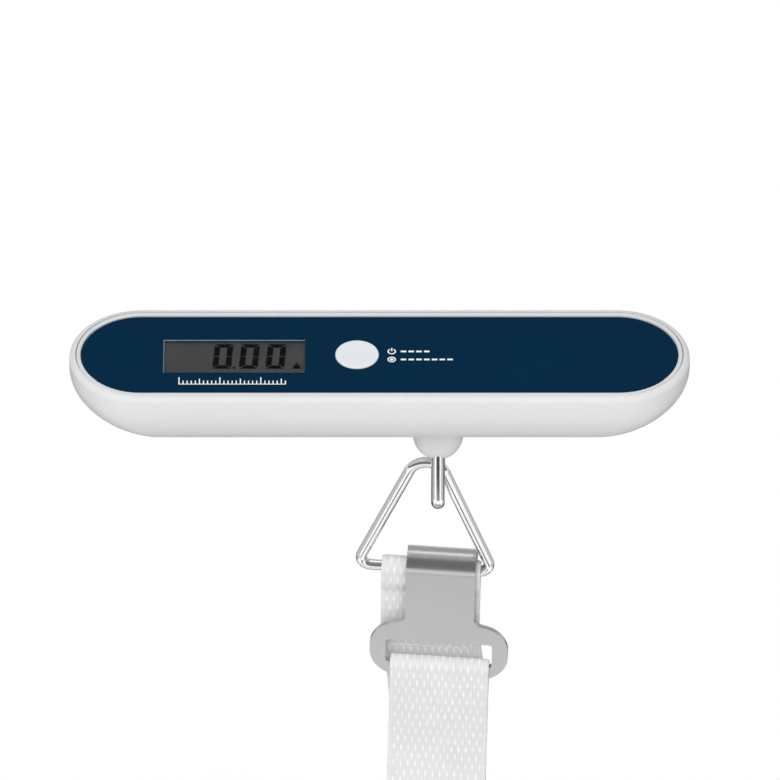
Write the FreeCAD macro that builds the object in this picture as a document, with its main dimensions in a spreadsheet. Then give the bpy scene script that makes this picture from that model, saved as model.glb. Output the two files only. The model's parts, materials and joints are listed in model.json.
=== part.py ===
import FreeCAD, Part
import math
import os
import Sketcher

Vector, Rotation, Placement = FreeCAD.Vector, FreeCAD.Rotation, FreeCAD.Placement
X, Y, Z = Vector(1, 0, 0), Vector(0, 1, 0), Vector(0, 0, 1)

# Digital luggage scale. +X runs along the handle, +Z is the display's outward normal, and -Y is the side of
# the reader. The origin is the centre of the face panel's top. All lengths are in millimetres.

DRIVING = {
    # handle: a hull whose level outlines are stadiums
    "hull_radius": 17.7, "hull_straight": 50.3, "hull_end_shift": 8.0, "widest_drop": 3.2,
    "rim_height": 0.45, "rim_rounding": 1.4, "wall": 2.0, "seam": 0.15,
    # fittings moulded inside the hull
    "post_radius": 2.6, "side_post_radius": 2.4, "post_height": 14.0,
    "seat_offset": 28.0, "seat_length": 14.0, "seat_width": 9.0, "seat_height": 5.0,
    "tray_gap": 0.25, "tray_wall": 1.0, "tray_top": 9.8, "tray_height": 8.0,
    "contact_slot_length": 4.0, "contact_slot_width": 6.0, "contact_slot_top": 6.8, "bore_gap": 0.1,
    # top cover, face panel and display
    "recess_radius": 16.15, "cover_bottom": 2.7, "adhesive_gap": 0.1, "panel_thickness": 0.8,
    "panel_length": 146.2, "panel_width": 29.6, "panel_gap": 0.1, "panel_chamfer": 0.12, "lip_rounding": 0.3,
    "film_inset": 1.0,
    "window_length": 34.8, "window_width": 12.7, "window_x": -35.6, "window_y": -0.4,
    "lens_gap": 0.05, "lens_thickness": 0.5, "lens_drop": 0.25, "lens_chamfer": 0.2,
    "glass_length": 36.4, "glass_width": 14.6, "glass_thickness": 2.2, "glass_top": 0.9,
    "glass_step_length": 0.6, "glass_step_width": 1.8, "glass_gap": 0.15,
    "holder_wall": 1.9, "holder_gap": 0.05, "strip_width": 1.8, "strip_offset": 5.6, "strip_inset": 1.5,
    # circuit board
    "board_x": -26.0, "board_length": 62.0, "board_width": 21.0, "board_thickness": 1.2, "board_top": 7.0,
    "board_screw_right": 1.56, "board_screw_left": -12.74, "board_screw_y": 8.2, "board_post_radius": 2.0,
    "board_screw_radius": 1.0, "board_head_radius": 1.9, "board_head_height": 1.0,
    "blob_x": -14.0, "blob_radius": 7.0, "blob_cut": 50.0,
    "chip_length": 1.6, "chip_width": 0.9, "chip_height": 0.6, "chip_pitch_x": 2.6, "chip_pitch_y": 3.0,
    "chip_first_x": 3.5, "chip_first_y": 2.0,
    # button and its switch
    "button_x": -5.5, "button_radius": 5.35, "button_proud": 0.4, "button_rounding": 0.35, "button_gap": 0.1,
    "button_flange_radius": 6.2, "button_flange": 0.8, "flange_gap": 0.05,
    "button_stem_radius": 2.2, "button_stem_end": 4.5,
    "switch_side": 6.0, "switch_height": 1.8, "switch_floor": 0.2,
    "plunger_radius": 1.5, "plunger_length": 1.5,
    # battery, its contacts and its door
    "cell_x": -36.0, "cell_radius": 10.0, "cell_height": 3.2, "cell_top": 11.4,
    "cell_step": 0.4, "cell_rim": 1.2,
    "contact_thickness": 0.3, "contact_width": 4.0, "tab_drop": 6.3, "foot_length": 4.0, "tab_gap": 0.1,
    "flat_length": 6.0, "flat_offset": 3.0, "touch_length": 5.0, "touch_offset": 2.2,
    "door_length": 24.0, "door_width": 22.0, "door_gap": 0.15, "door_step": 1.0, "door_ledge": 1.2,
    "rib_length": 12.0, "rib_width": 1.2, "rib_height": 4.1, "rib_offset": 5.0,
    "groove_radius": 0.5, "groove_length": 12.0, "groove_first": 5.0, "groove_pitch": 1.8, "groove_rise": 0.1,
    # load cell
    "boss_x": 14.4, "boss_radius": 6.2, "boss_centre_drop": 25.2, "boss_fillet": 1.6, "boss_stub": 10.0,
    "load_cell_length": 44.0, "load_cell_width": 16.0, "load_cell_height": 5.0, "load_cell_top": 10.2,
    "load_cell_overhang": 8.0, "cell_hole_radius": 1.7, "cell_hole_offset": 3.4, "cell_slit": 1.2,
    "seat_screw_offset": 3.0, "seat_screw_radius": 1.5, "seat_screw_length": 7.6,
    "seat_head_radius": 2.7, "seat_head_height": 1.6, "seat_bore_depth": 3.1,
    "gauge_x": 30.2, "gauge_length": 7.0, "gauge_width": 5.0, "gauge_thickness": 0.12,
    "sealant_length": 12.0, "sealant_width": 8.0, "sealant_height": 1.3, "sealant_rounding": 0.8,
    "wire_radius": 0.35, "wire_bend": 1.1, "wire_pitch": 0.9, "wire_rise_x": 20.6, "wire_over": 4.5,
    "wire_end_x": 2.6, "wire_start_rise": 0.6, "wire_start_gap": 0.05,
    # hook: a U of wire with both legs up through the boss
    "hook_wire": 1.7, "hook_half_gap": 3.9, "hook_bowl_drop": 41.9, "hook_leg_top": 5.2,
    "bridge_length": 7.0, "bridge_width": 14.6, "bridge_thickness": 1.2, "nut_flats": 6.0, "nut_height": 3.0,
    # ring, buckle and strap, in a frame whose origin is the ring's apex on its wire's centreline
    "ring_x": 11.8, "ring_drop": 34.15, "ring_yaw": -4.5, "ring_roll": 1.0,
    "ring_wire": 1.35, "ring_height": 34.0, "ring_width": 31.7, "apex_radius": 4.7, "corner_radius": 2.4,
    "web_width": 24.6, "web_thickness": 1.4, "web_clearance": 0.1, "back_web_x": 1.6, "front_web_x": 4.5,
    "layer_gap": 0.06, "layer_bend": 2.6, "loop_bend": 60.0,
    "eye_foot": 3.5, "eye_end": 7.0, "sewn_end": 27.0,
    "back_straight": 36.0, "tail_neck": 1.2, "tail_foot": 6.0, "tail_end": 20.0, "tail_bend": 2.2,
    "tail_gap": 0.1, "fold_gap": 0.3, "front_straight": 26.0, "front_bend": 40.0,
    "loop_bottom": 138.8, "loop_radius": 7.0, "loop_split": 0.1, "loop_shift": 0.2,
    "loop_back_rise": 22.0, "loop_front_rise": 10.0,
    "sheet_thickness": 1.25, "buckle_x": 4.2, "roll_inner": 3.15, "roll_raise": 1.4, "roll_lip": 1.5,
    "neck_width": 17.2, "lobe_width": 34.4, "lobe_top": 48.6, "buckle_bottom": 65.6,
    "lobe_rounding": 7.6, "neck_fillet": 2.2,
    "slot_width": 26.4, "slot_top": 54.2, "slot_bottom": 61.4, "slot_rounding": 0.8,
    # screws under the face panel
    "cover_screw_x": 66.0, "side_screw_x": 24.0, "side_screw_y": 11.6, "screw_radius": 1.1, "screw_gap": 0.25,
    "screw_length": 7.2, "screw_head_radius": 2.3, "screw_head_height": 0.85, "screw_sink": 0.9,
    "screw_sink_radius": 2.5, "screw_bore_depth": 7.0,
}

# how far cutters reach past what they cut: a hole's start, the battery opening's faces, the buckle's sides
ABOVE, OPENING_SKIN, CUTTER_REACH = 1, 0.05, 20

doc = FreeCAD.newDocument("luggage_scale")
sheet = doc.addObject("Spreadsheet::Sheet", "dims")


class Size:
    """A length known both as a number and as an expression on the sheet."""

    def __init__(self, text, value):
        self.text, self.value = text, value

    def __float__(self):
        return float(self.value)

    def __neg__(self):
        return Size(f"-({self.text})", -self.value)

    def __add__(self, other):
        other = size(other)
        return Size(f"({self.text} + {other.text})", self.value + other.value)

    def __sub__(self, other):
        other = size(other)
        return Size(f"({self.text} - {other.text})", self.value - other.value)

    def __mul__(self, other):
        other = size(other)
        return Size(f"({self.text} * {other.text})", self.value * other.value)

    def __truediv__(self, other):
        other = size(other)
        return Size(f"({self.text} / {other.text})", self.value / other.value)

    __radd__ = __add__
    __rmul__ = __mul__

    def __rsub__(self, other):
        return size(other) - self


def size(value):
    return value if isinstance(value, Size) else Size(repr(float(value)), float(value))


for row, (alias, number) in enumerate(DRIVING.items(), start=1):
    sheet.set(f"A{row}", alias)
    sheet.set(f"B{row}", str(number))
    sheet.setAlias(f"B{row}", alias)
doc.recompute()


class Dims:
    """Gives each driving dimension of the sheet as a Size."""

    def __getattr__(self, alias):
        return Size(f"dims.{alias}", float(sheet.get(alias)))


d = Dims()
nodes = {}


def bind(thing, **values):
    """Binds properties such as Length or Radius to expressions."""
    for name, value in values.items():
        value = size(value)
        setattr(thing, name, value.value)
        thing.setExpression(name, value.text)


def bind_place(thing, path, x=0, y=0, z=0):
    """Binds the position of a placement property."""
    for axis, value in zip("xyz", (x, y, z)):
        thing.setExpression(f"{path}.Base.{axis}", size(value).text)


def keep(node, thing):
    """Names the object as a sub-part."""
    thing.Label = node
    nodes[node] = thing
    return thing


# ---------------------------------------------------------------- PartDesign helpers

def new_body(name):
    return doc.addObject("PartDesign::Body", name + "_body")


def sketch_on(body, role, x=0, y=0, z=0):
    """A sketch on one of the body's own planes, shifted by x, y, z in the plane's frame."""
    sketch = body.newObject("Sketcher::SketchObject", body.Name + "_sketch")
    plane = next(o for o in body.Origin.OriginFeatures if o.Role == role)
    sketch.AttachmentSupport = [(plane, "")]
    sketch.MapMode = "FlatFace"
    sketch.AttachmentOffset = Placement(Vector(float(size(x)), float(size(y)), float(size(z))), Rotation())
    bind_place(sketch, "AttachmentOffset", x, y, z)
    return sketch


def hold(sketch, kind, *arguments):
    """Adds a constraint whose value follows the sheet."""
    *places, value = arguments
    value = size(value)
    index = sketch.addConstraint(Sketcher.Constraint(kind, *places, value.value))
    sketch.setExpression(f"Constraints[{index}]", value.text)


def rectangle(sketch, length, width):
    a, b = float(size(length)) / 2, float(size(width)) / 2
    corners = [Vector(-a, -b, 0), Vector(a, -b, 0), Vector(a, b, 0), Vector(-a, b, 0)]
    for i in range(4):
        sketch.addGeometry(Part.LineSegment(corners[i], corners[(i + 1) % 4]), False)
    for i in range(4):
        sketch.addConstraint(Sketcher.Constraint("Coincident", i, 2, (i + 1) % 4, 1))
        sketch.addConstraint(Sketcher.Constraint("Horizontal" if i % 2 == 0 else "Vertical", i))
    sketch.addConstraint(Sketcher.Constraint("Symmetric", 0, 1, 2, 1, -1, 1))
    hold(sketch, "DistanceX", 0, 1, 0, 2, length)
    hold(sketch, "DistanceY", 1, 1, 1, 2, width)


def stadium(sketch, length, width):
    r = float(size(width)) / 2
    a = float(size(length)) / 2 - r
    half = math.pi / 2
    sketch.addGeometry(Part.LineSegment(Vector(-a, -r, 0), Vector(a, -r, 0)), False)
    right = Part.Circle(Vector(a, 0, 0), Vector(0, 0, 1), r)
    sketch.addGeometry(Part.ArcOfCircle(right, -half, half), False)
    sketch.addGeometry(Part.LineSegment(Vector(a, r, 0), Vector(-a, r, 0)), False)
    left = Part.Circle(Vector(-a, 0, 0), Vector(0, 0, 1), r)
    sketch.addGeometry(Part.ArcOfCircle(left, half, 3 * half), False)
    for i in range(4):
        sketch.addConstraint(Sketcher.Constraint("Tangent", i, 2, (i + 1) % 4, 1))
    sketch.addConstraint(Sketcher.Constraint("Horizontal", 0))
    sketch.addConstraint(Sketcher.Constraint("Symmetric", 1, 3, 3, 3, -1, 1))
    hold(sketch, "Radius", 1, size(width) / 2)
    hold(sketch, "DistanceX", 3, 3, 1, 3, size(length) - size(width))


def disc(sketch, radius):
    sketch.addGeometry(Part.Circle(Vector(0, 0, 0), Vector(0, 0, 1), float(size(radius))), False)
    sketch.addConstraint(Sketcher.Constraint("Coincident", 0, 3, -1, 1))
    hold(sketch, "Radius", 0, radius)


def pad(body, outline, measures, height, x=0, y=0, z=0, role="XY_Plane", both=False):
    """Adds a prism on an outline centred at x, y and starting at z."""
    sketch = sketch_on(body, role, x, y, z)
    outline(sketch, *measures)
    feature = body.newObject("PartDesign::Pad", body.Name + "_pad")
    feature.Profile = sketch
    feature.Midplane = both
    bind(feature, Length=height)
    doc.recompute()
    body.Tip = feature
    return feature


def pocket(body, outline, measures, depth, x=0, y=0, z=0, role="XY_Plane", both=False):
    """Cuts a prism downwards from an outline centred at x, y on level z."""
    before = body.Shape.Volume
    sketch = sketch_on(body, role, x, y, z)
    outline(sketch, *measures)
    feature = body.newObject("PartDesign::Pocket", body.Name + "_pocket")
    feature.Profile = sketch
    feature.Midplane = both
    bind(feature, Length=depth)
    doc.recompute()
    body.Tip = feature
    if body.Shape.Volume > before - 1e-6:
        raise RuntimeError(f"{body.Name}: a pocket cuts nothing")
    return feature


def soften(body, kind, radius, wanted):
    """Rounds or chamfers the edges of the body's tip that wanted(edge) picks."""
    base = body.Tip
    names = [f"Edge{i}" for i, edge in enumerate(base.Shape.Edges, start=1) if wanted(edge)]
    feature = body.newObject("PartDesign::" + kind, body.Name + "_soft")
    feature.Base = (base, names)
    bind(feature, **{"Radius" if kind == "Fillet" else "Size": radius})
    doc.recompute()
    body.Tip = feature
    return feature


def at_level(z):
    """Picks the edges that lie in the level plane z."""
    level = float(size(z))
    return lambda edge: abs(edge.BoundBox.ZMin - level) < 1e-4 and abs(edge.BoundBox.ZMax - level) < 1e-4


# ---------------------------------------------------------------- Part helpers

def box(name, length, width, height, x=0, y=0, z=0):
    """A box centred at x, y with its base on level z."""
    thing = doc.addObject("Part::Box", name)
    bind(thing, Length=length, Width=width, Height=height)
    bind_place(thing, "Placement", size(x) - size(length) / 2, size(y) - size(width) / 2, z)
    return thing


def cylinder(name, radius, height, x=0, y=0, z=0):
    thing = doc.addObject("Part::Cylinder", name)
    bind(thing, Radius=radius, Height=height)
    bind_place(thing, "Placement", x, y, z)
    return thing


def boolean(kind, name, *things):
    """A Part boolean, of two operands for Cut and Common, and of any number for MultiFuse."""
    thing = doc.addObject("Part::" + kind, name)
    if kind == "MultiFuse":
        thing.Shapes = list(things)
    else:
        thing.Base, thing.Tool = things
    doc.recompute()
    return thing


def group(node, things):
    """Equal pieces that share a node, as separate solids."""
    thing = doc.addObject("Part::Compound", node)
    thing.Links = list(things)
    doc.recompute()
    return keep(node, thing)


def from_shape(name, shape, place=None):
    thing = doc.addObject("Part::Feature", name)
    thing.Shape = shape
    if place is not None:
        thing.Placement = place
    return thing


def rounded_edges(points, radii):
    """Straight runs through the points, with a tangent arc of its own radius at each inner point."""
    edges, start = [], points[0]
    for before, corner, after, radius in zip(points, points[1:], points[2:], radii):
        if radius == 0:
            edges.append(Part.LineSegment(start, corner).toShape())
            start = corner
            continue
        u, v = (before - corner).normalize(), (after - corner).normalize()
        half = u.getAngle(v) / 2
        reach = radius / math.tan(half)
        inner = corner + (u + v).normalize() * (radius / math.sin(half) - radius)
        first, last = corner + u * reach, corner + v * reach
        if (first - start).Length > 1e-5:
            edges.append(Part.LineSegment(start, first).toShape())
        edges.append(Part.Arc(first, inner, last).toShape())
        start = last
    if (points[-1] - start).Length > 1e-5:
        edges.append(Part.LineSegment(start, points[-1]).toShape())
    return edges


def tube(route, bend, radius):
    """A round solid along a route whose corners all have the same bend."""
    path = Part.Wire(rounded_edges(route, [bend] * (len(route) - 2)))
    section = Part.Wire([Part.makeCircle(radius, route[0], route[1] - route[0])])
    return path.makePipeShell([section], True, False)


# ---------------------------------------------------------------- the handle's hull

def end_points(radius, straight, shift, level):
    """Points over one end of a hull: rows from the keel to the widest level, each row round the end.
    A level outline is a stadium of half-width w whose end is centred s past the straight part."""
    rows, columns = 13, 25
    grid = []
    for i in range(rows):
        turn = math.pi / 2 * i / (rows - 1)
        w, s, z = radius * math.sin(turn), shift * math.sin(turn) ** 2, level - radius * math.cos(turn)
        line = []
        for j in range(columns):
            angle = math.pi * (j / (columns - 1) - 0.5)
            across, along = abs(math.sin(angle)), math.cos(angle)
            if i == 0:
                reach = 0
            elif w * along <= s * across:
                reach = w / across
            else:
                reach = s * along + math.sqrt(max(w * w - (s * across) ** 2, 0))
            line.append(Vector(straight + reach * math.cos(angle), reach * math.sin(angle), z))
        grid.append(line)
    return grid


def hull_solid(radius, straight, shift, level, top):
    """The hull below its widest level, with upright sides from there to the top."""
    surface = Part.BSplineSurface()
    surface.interpolate(end_points(radius, straight, shift, level))
    right = surface.toShape()
    left = right.mirror(Vector(0, 0, 0), X)

    def edges_of(face, wanted):
        return [e for e in face.Edges if e.Length > 1e-6 and wanted(e.BoundBox)]

    def in_end_plane(b):
        return b.XLength < 1e-6

    def in_level(b):
        return b.ZLength < 1e-6

    faces = [right, left]
    for e_right in edges_of(right, in_end_plane):
        y_mid = e_right.CenterOfMass.y
        e_left = next(e for e in edges_of(left, in_end_plane) if e.CenterOfMass.y * y_mid > 0)
        faces.append(Part.makeRuledSurface(e_right, e_left))
    rim_right, rim_left = edges_of(right, in_level)[0], edges_of(left, in_level)[0]
    sides = [
        Part.makeLine(Vector(-straight, side * radius, level), Vector(straight, side * radius, level))
        for side in (-1, 1)
    ]
    outline = Part.Wire(Part.__sortEdges__([rim_right, rim_left] + sides))
    walls = outline.extrude(Vector(0, 0, top - level))
    lid = Part.Face(outline)
    lid.translate(Vector(0, 0, top - level))
    shell = Part.makeShell(faces + walls.Faces + [lid])
    shell.sewShape()
    solid = Part.makeSolid(Part.Shell(shell.Faces))
    solid.fix(1e-4, 1e-4, 1e-4)
    if solid.Volume < 0:
        solid.reverse()
    return solid


def hull_outside():
    """The hull with the hook's boss under it, its rim and the boss's root rounded."""
    radius, level, top = float(d.hull_radius), -float(d.widest_drop), float(d.rim_height)
    outline = (float(d.hull_straight), float(d.hull_end_shift))
    hull = from_shape("hull_outside", hull_solid(radius, *outline, level, top))
    boss_bottom = -d.boss_centre_drop
    stub = cylinder("boss_stub", d.boss_radius, d.boss_stub, d.boss_x, 0, boss_bottom)
    dome = doc.addObject("Part::Sphere", "boss_dome")
    bind(dome, Radius=d.boss_radius)
    bind_place(dome, "Placement", d.boss_x, 0, boss_bottom)
    doc.recompute()
    outside = boolean("MultiFuse", "hull_and_boss", hull, stub, dome)
    keel = level - radius

    def at_boss_root(edge):
        b = edge.BoundBox
        ring_sized = max(b.XLength, b.YLength) < 2.1 * float(d.boss_radius) and edge.Length > 5
        near_boss = abs(b.Center.x - float(d.boss_x)) < float(d.boss_radius)
        return ring_sized and near_boss and keel - 0.6 < b.ZMin and b.ZMax < keel + 1.9

    picks = []
    for index, edge in enumerate(outside.Shape.Edges, start=1):
        if at_boss_root(edge):
            picks.append((index, float(d.boss_fillet), float(d.boss_fillet)))
        if at_level(d.rim_height)(edge):
            picks.append((index, float(d.rim_rounding), float(d.rim_rounding)))
    rounded = doc.addObject("Part::Fillet", "hull_rounded")
    rounded.Base = outside
    rounded.Edges = picks
    doc.recompute()
    return hull, rounded


def hull_fittings(hull):
    """Screw posts, the load cell's seat and the coin cell's tray, trimmed to the hull."""
    post_foot = -d.cover_bottom - d.post_height
    seat_x, seat_foot = d.boss_x + d.seat_offset, -d.load_cell_top - d.load_cell_height - d.seat_height
    posts = [
        cylinder("cover_post_left", d.post_radius, d.post_height, -d.cover_screw_x, 0, post_foot),
        cylinder("cover_post_right", d.post_radius, d.post_height, d.cover_screw_x, 0, post_foot),
        box("load_cell_seat", d.seat_length, d.seat_width, d.seat_height, seat_x, 0, seat_foot),
    ]
    side_post = (d.side_post_radius, d.post_height, d.side_screw_x)
    for name, side in (("front", -1), ("back", 1)):
        posts.append(cylinder(f"side_post_{name}", *side_post, side * d.side_screw_y, post_foot))
    tray_foot = -d.tray_top - d.tray_height
    tray_radius = d.cell_radius + d.tray_gap
    tray_outer = cylinder("tray_outer", tray_radius + d.tray_wall, d.tray_height, d.cell_x, 0, tray_foot)
    tray_inner = cylinder("tray_inner", tray_radius, d.tray_height + 1, d.cell_x, 0, tray_foot - 0.5)
    posts.append(boolean("Cut", "cell_tray", tray_outer, tray_inner))
    return boolean("Common", "fittings_trimmed", boolean("MultiFuse", "fittings", *posts), hull)


def seat_screw_places():
    return (d.boss_x + d.seat_offset - d.seat_screw_offset, d.boss_x + d.seat_offset + d.seat_screw_offset)


def hull_bores():
    """Holes for the hook's legs and every screw, and the slot for the positive contact."""
    leg_radius, leg_foot = d.hook_wire + d.bore_gap, -d.boss_centre_drop - d.boss_radius - 5
    seat_top = -d.load_cell_top - d.load_cell_height
    bores = []
    for name, side in (("front", -1), ("back", 1)):
        y = side * d.hook_half_gap
        bores.append(cylinder(f"leg_bore_{name}", leg_radius, -leg_foot, d.boss_x, y, leg_foot))
    for i, x in enumerate(seat_screw_places()):
        foot = seat_top - d.seat_bore_depth
        bores.append(cylinder(f"seat_bore_{i}", d.seat_screw_radius, d.seat_bore_depth + 1, x, 0, foot))
    slot = (d.contact_slot_length, d.contact_slot_width, d.tray_height)
    slot_x, slot_foot = d.cell_x + d.cell_radius + d.cell_rim, -d.contact_slot_top - d.tray_height
    bores.append(box("contact_slot", *slot, slot_x, 0, slot_foot))
    for i, (x, y) in enumerate(screw_places()):
        foot = -d.cover_bottom - d.screw_bore_depth
        bores.append(cylinder(f"cover_bore_{i}", d.screw_radius, d.screw_bore_depth, x, y, foot))
    return bores


def build_lower_shell():
    hull, outside = hull_outside()
    inner, above = float(d.hull_radius) - float(d.wall), float(d.rim_height) + 1
    inside = hull_solid(inner, float(d.hull_straight), float(d.hull_end_shift), -float(d.widest_drop), above)
    hollow = boolean("Cut", "hull_hollow", outside, from_shape("hull_cavity", inside))
    filled = boolean("MultiFuse", "hull_with_fittings", hollow, hull_fittings(hull))
    recess = new_body("recess")
    recess_length = (d.hull_straight + d.hull_end_shift + d.recess_radius) * 2
    pad(recess, stadium, (recess_length, d.recess_radius * 2), d.cover_bottom + 2, z=-d.cover_bottom)
    opening = door_solid("door_opening", 0, OPENING_SKIN)
    cutters = boolean("MultiFuse", "hull_cutters", recess, opening, *hull_bores())
    keep("lower_shell", boolean("Cut", "lower_shell", filled, cutters))


def wall_band(name, outer_radius, inner_radius, length, width):
    """A rectangle of the hull's wall between two radii, under the coin cell."""
    parts = []
    for label, radius in (("outside", outer_radius), ("inside", inner_radius)):
        bar = cylinder(f"{name}_{label}", radius, length)
        bar.Placement = Placement(Vector(0, 0, 0), Rotation(Y, 90))
        bind_place(bar, "Placement", d.cell_x - size(length) / 2, 0, -d.widest_drop)
        parts.append(bar)
    ring = boolean("Cut", name + "_ring", *parts)
    below = -d.widest_drop - d.hull_radius - ABOVE
    block = box(name + "_block", length, width, d.hull_radius, d.cell_x, 0, below)
    return boolean("Common", name, ring, block)


def door_solid(name, gap, skin):
    """The stepped plug of the battery opening: smaller by the gap all round, and thicker by the skin."""
    length, width = d.door_length - size(gap) * 2, d.door_width - size(gap) * 2
    step_radius = d.hull_radius - d.door_step
    face = wall_band(name + "_face", d.hull_radius + skin, step_radius - skin, length, width)
    plug = wall_band(name + "_plug", step_radius, d.hull_radius - d.wall - skin * 2,
                     length - d.door_ledge * 2, width - d.door_ledge * 2)
    return boolean("MultiFuse", name, face, plug)


def build_battery_door():
    """The door, with two ribs that hold the coin cell up and three grooves for a thumb."""
    door = door_solid("door_plate", d.door_gap, 0)
    rib_foot = -(d.hull_radius - d.wall + d.widest_drop)
    ribs = [
        box(f"door_rib_{i}", d.rib_length, d.rib_width, d.rib_height, d.cell_x, side * d.rib_offset, rib_foot)
        for i, side in enumerate((-1, 1))
    ]
    grooves = []
    groove_z = -d.widest_drop - d.hull_radius - d.groove_rise
    for i in range(3):
        groove = cylinder(f"door_groove_{i}", d.groove_radius, d.groove_length)
        groove.Placement = Placement(Vector(0, 0, 0), Rotation(X, -90))
        groove_x = d.cell_x + d.groove_first + d.groove_pitch * i
        bind_place(groove, "Placement", groove_x, -d.groove_length / 2, groove_z)
        grooves.append(groove)
    ribbed = boolean("MultiFuse", "door_ribbed", door, *ribs)
    keep("battery_door", boolean("Cut", "battery_door", ribbed, boolean("MultiFuse", "grooves", *grooves)))


# ---------------------------------------------------------------- cover, panel and display

def build_top_cover():
    body = new_body("top_cover")
    radius = d.recess_radius - d.seam
    length = (d.hull_straight + d.hull_end_shift + radius) * 2
    pad(body, stadium, (length, radius * 2), d.cover_bottom + d.rim_height, z=-d.cover_bottom)
    recess_depth = d.rim_height + d.panel_thickness + d.adhesive_gap
    panel = (d.panel_length + d.panel_gap * 2, d.panel_width + d.panel_gap * 2)
    pocket(body, stadium, panel, recess_depth, z=d.rim_height)
    soften(body, "Fillet", d.lip_rounding, at_level(d.rim_height))
    through = d.cover_bottom + ABOVE * 2
    glass_opening = (d.glass_length + d.glass_gap * 4, d.glass_width + d.glass_gap * 4)
    pocket(body, rectangle, glass_opening, through, d.window_x, d.window_y, ABOVE)
    pocket(body, disc, (d.button_radius + d.button_gap,), through, d.button_x, 0, ABOVE)
    floor = -(d.panel_thickness + d.adhesive_gap)
    for x, y in screw_places():
        pocket(body, disc, (d.screw_radius + d.screw_gap,), through, x, y, floor)
        pocket(body, disc, (d.screw_sink_radius,), d.screw_sink, x, y, floor)
    for x, y in board_screw_places():
        pad(body, disc, (d.board_post_radius,), d.board_top - d.cover_bottom, x, y, -d.board_top)
    keep("top_cover", body)


def screw_places():
    return (
        (-d.cover_screw_x, 0), (d.cover_screw_x, 0),
        (d.side_screw_x, -d.side_screw_y), (d.side_screw_x, d.side_screw_y),
    )


def board_screw_places():
    return ((d.board_screw_left, d.board_screw_y), (d.board_screw_right, -d.board_screw_y))


def build_panel():
    body = new_body("face_panel")
    pad(body, stadium, (d.panel_length, d.panel_width), d.panel_thickness, z=-d.panel_thickness)
    soften(body, "Chamfer", d.panel_chamfer, at_level(0))
    through = d.panel_thickness + ABOVE * 2
    pocket(body, rectangle, (d.window_length, d.window_width), through, d.window_x, d.window_y, ABOVE)
    pocket(body, disc, (d.button_radius + d.button_gap,), through, d.button_x, 0, ABOVE)
    keep("face_panel", body)

    film = new_body("panel_adhesive")
    under = d.panel_thickness + d.adhesive_gap
    outline = (d.panel_length - d.film_inset * 2, d.panel_width - d.film_inset * 2)
    pad(film, stadium, outline, d.adhesive_gap, z=-under)
    glass_opening = (d.glass_length + d.glass_gap * 6, d.glass_width + d.glass_gap * 6)
    pocket(film, rectangle, glass_opening, under + ABOVE, d.window_x, d.window_y, 0)
    pocket(film, disc, (d.button_radius + d.button_gap * 6,), under + ABOVE, d.button_x, 0, 0)
    keep("panel_adhesive", film)


def build_display():
    lens = new_body("display_lens")
    measures = (d.window_length - d.lens_gap * 2, d.window_width - d.lens_gap * 2)
    lens_foot = -(d.lens_drop + d.lens_thickness)
    pad(lens, rectangle, measures, d.lens_thickness, d.window_x, d.window_y, lens_foot)
    soften(lens, "Chamfer", d.lens_chamfer, at_level(-d.lens_drop))
    keep("display_lens", lens)

    glass = new_body("lcd_glass")
    bottom = -(d.glass_top + d.glass_thickness)
    sheet_thickness = d.glass_thickness / 2
    pad(glass, rectangle, (d.glass_length, d.glass_width), sheet_thickness, d.window_x, d.window_y, bottom)
    upper = (d.glass_length - d.glass_step_length, d.glass_width - d.glass_step_width)
    pad(glass, rectangle, upper, sheet_thickness, d.window_x, d.window_y, bottom + sheet_thickness)
    keep("lcd_glass", glass)

    holder = new_body("lcd_holder")
    inner = (d.glass_length + d.glass_gap * 2, d.glass_width + d.glass_gap * 2)
    outer = (inner[0] + d.holder_wall * 2, inner[1] + d.holder_wall * 2)
    height = d.board_top - d.cover_bottom
    pad(holder, rectangle, outer, height - d.holder_gap, d.window_x, d.window_y, -d.board_top)
    pocket(holder, rectangle, inner, height + ABOVE, d.window_x, d.window_y, -d.cover_bottom)
    keep("lcd_holder", holder)

    strips = [
        box(f"strip_{i}", d.glass_length - d.strip_inset * 2, d.strip_width, d.board_top + bottom,
            d.window_x, d.window_y + side * d.strip_offset, -d.board_top)
        for i, side in enumerate((-1, 1))
    ]
    group("contact_strips", strips)


# ---------------------------------------------------------------- board, switch, button

def build_board():
    body = new_body("circuit_board")
    under = -(d.board_top + d.board_thickness)
    pad(body, rectangle, (d.board_length, d.board_width), d.board_thickness, d.board_x, 0, under)
    for x, y in board_screw_places():
        pocket(body, disc, (d.board_screw_radius,), d.board_thickness + ABOVE * 2, x, y, -d.board_top + ABOVE)
    keep("circuit_board", body)

    blob = doc.addObject("Part::Sphere", "blob")
    bind(blob, Radius=d.blob_radius, Angle1=-90, Angle2=-d.blob_cut)
    cut_level = float(d.blob_radius) * math.sin(math.radians(float(d.blob_cut)))
    bind_place(blob, "Placement", d.blob_x, 0, under + cut_level)
    keep("controller_blob", blob)

    chips = []
    chip = (d.chip_length, d.chip_width, d.chip_height)
    for i in range(8):
        x, y = d.chip_first_x - d.chip_pitch_x * (i % 4), d.chip_first_y + d.chip_pitch_y * (i // 4)
        chips.append(box(f"chip_{i}", *chip, x, y, under - d.chip_height))
    group("board_parts", chips)

    screws = []
    for i, (x, y) in enumerate(board_screw_places()):
        head_foot = under - d.board_head_height
        head = cylinder(f"board_head_{i}", d.board_head_radius, d.board_head_height, x, y, head_foot)
        shank = cylinder(f"board_shank_{i}", d.board_screw_radius, d.board_thickness, x, y, under)
        screws.append(boolean("MultiFuse", f"board_screw_{i}", head, shank))
    group("board_screws", screws)


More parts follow.
